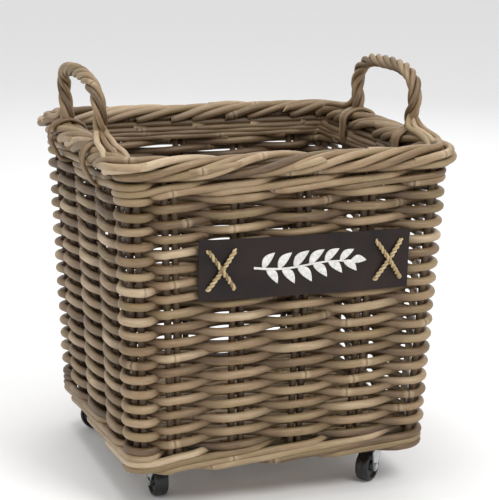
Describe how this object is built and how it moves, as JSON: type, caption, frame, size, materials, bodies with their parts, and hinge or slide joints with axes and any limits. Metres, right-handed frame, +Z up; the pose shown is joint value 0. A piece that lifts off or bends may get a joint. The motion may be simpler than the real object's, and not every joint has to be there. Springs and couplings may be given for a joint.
{
  "type": "wicker log basket",
  "caption": "Square woven cane log basket with tapered walls, a thick plaited rim, rope-twist handles, a laced front plaque and swivel casters underneath.",
  "frame": {"origin": "on the floor under the middle of the basket, at the height where the wheels touch", "axes": "+Z up; -Y out of the front, the side with the plaque; +X to the right seen from the front"},
  "size_m": [0.5106, 0.5, 0.5899],
  "materials": {
    "cane": "weathered grey-brown natural cane, matt with a faint sheen on the rounds",
    "batten_wood": "sawn softwood, oiled",
    "plaque_enamel": "satin, very dark brown",
    "seagrass_twine": "twisted two-ply fibre, matt",
    "zinc_plate": "bright zinc plate on pressed steel",
    "wheel_plastic": "moulded, satin"
  },
  "bodies": {
    "root": {"foot_border": "cane", "lower_wale": "cane", "woven_wall": "cane", "upper_wale": "cane", "top_border": "cane", "stake_pair_01": "cane", "stake_pair_02": "cane", "stake_pair_03": "cane", "stake_pair_04": "cane", "stake_pair_05": "cane", "stake_pair_06": "cane", "stake_pair_07": "cane", "stake_pair_08": "cane", "stake_pair_09": "cane", "stake_pair_10": "cane", "stake_pair_11": "cane", "stake_pair_12": "cane", "stake_pair_13": "cane", "stake_pair_14": "cane", "stake_pair_15": "cane", "stake_pair_16": "cane", "stake_pair_17": "cane", "stake_pair_18": "cane", "right_handle": "cane", "right_handle_front_tie": "cane", "right_handle_back_tie": "cane", "left_handle": "cane", "left_handle_front_tie": "cane", "left_handle_back_tie": "cane", "plaque": "plaque_enamel", "left_lashing": "seagrass_twine", "right_lashing": "seagrass_twine", "floor_mat": "cane", "front_batten": "batten_wood", "rear_batten": "batten_wood", "front_left_top_plate": "zinc_plate", "front_left_kingpin": "zinc_plate", "front_right_top_plate": "zinc_plate", "front_right_kingpin": "zinc_plate", "rear_left_top_plate": "zinc_plate", "rear_left_kingpin": "zinc_plate", "rear_right_top_plate": "zinc_plate", "rear_right_kingpin": "zinc_plate"},
    "front_left_fork": {"front_left_fork": "zinc_plate", "front_left_axle": "zinc_plate"},
    "front_left_wheel": {"front_left_wheel": "wheel_plastic"},
    "front_right_fork": {"front_right_fork": "zinc_plate", "front_right_axle": "zinc_plate"},
    "front_right_wheel": {"front_right_wheel": "wheel_plastic"},
    "rear_left_fork": {"rear_left_fork": "zinc_plate", "rear_left_axle": "zinc_plate"},
    "rear_left_wheel": {"rear_left_wheel": "wheel_plastic"},
    "rear_right_fork": {"rear_right_fork": "zinc_plate", "rear_right_axle": "zinc_plate"},
    "rear_right_wheel": {"rear_right_wheel": "wheel_plastic"}
  },
  "joints": [
    {"name": "front_left_swivel", "type": "hinge", "parent": "root", "child": "front_left_fork", "pos_m": [-0.1582, -0.1582, 0.052], "axis": [0, 0, 1], "continuous": true},
    {"name": "front_left_roll", "type": "hinge", "parent": "front_left_fork", "child": "front_left_wheel", "pos_m": [-0.15883, -0.14021, 0.022], "axis": [-0.9994, -0.0349, 0], "continuous": true},
    {"name": "front_right_swivel", "type": "hinge", "parent": "root", "child": "front_right_fork", "pos_m": [0.1582, -0.1582, 0.052], "axis": [0, 0, 1], "continuous": true},
    {"name": "front_right_roll", "type": "hinge", "parent": "front_right_fork", "child": "front_right_wheel", "pos_m": [0.14504, -0.17048, 0.022], "axis": [0.682, -0.7314, 0], "continuous": true},
    {"name": "rear_left_swivel", "type": "hinge", "parent": "root", "child": "rear_left_fork", "pos_m": [-0.1582, 0.1582, 0.052], "axis": [0, 0, 1], "continuous": true},
    {"name": "rear_left_roll", "type": "hinge", "parent": "rear_left_fork", "child": "rear_left_wheel", "pos_m": [-0.17379, 0.1672, 0.022], "axis": [-0.5, -0.866, 0], "continuous": true},
    {"name": "rear_right_swivel", "type": "hinge", "parent": "root", "child": "rear_right_fork", "pos_m": [0.1582, 0.1582, 0.052], "axis": [0, 0, 1], "continuous": true},
    {"name": "rear_right_roll", "type": "hinge", "parent": "rear_right_fork", "child": "rear_right_wheel", "pos_m": [0.17511, 0.16436, 0.022], "axis": [-0.342, 0.9397, 0], "continuous": true}
  ]
}
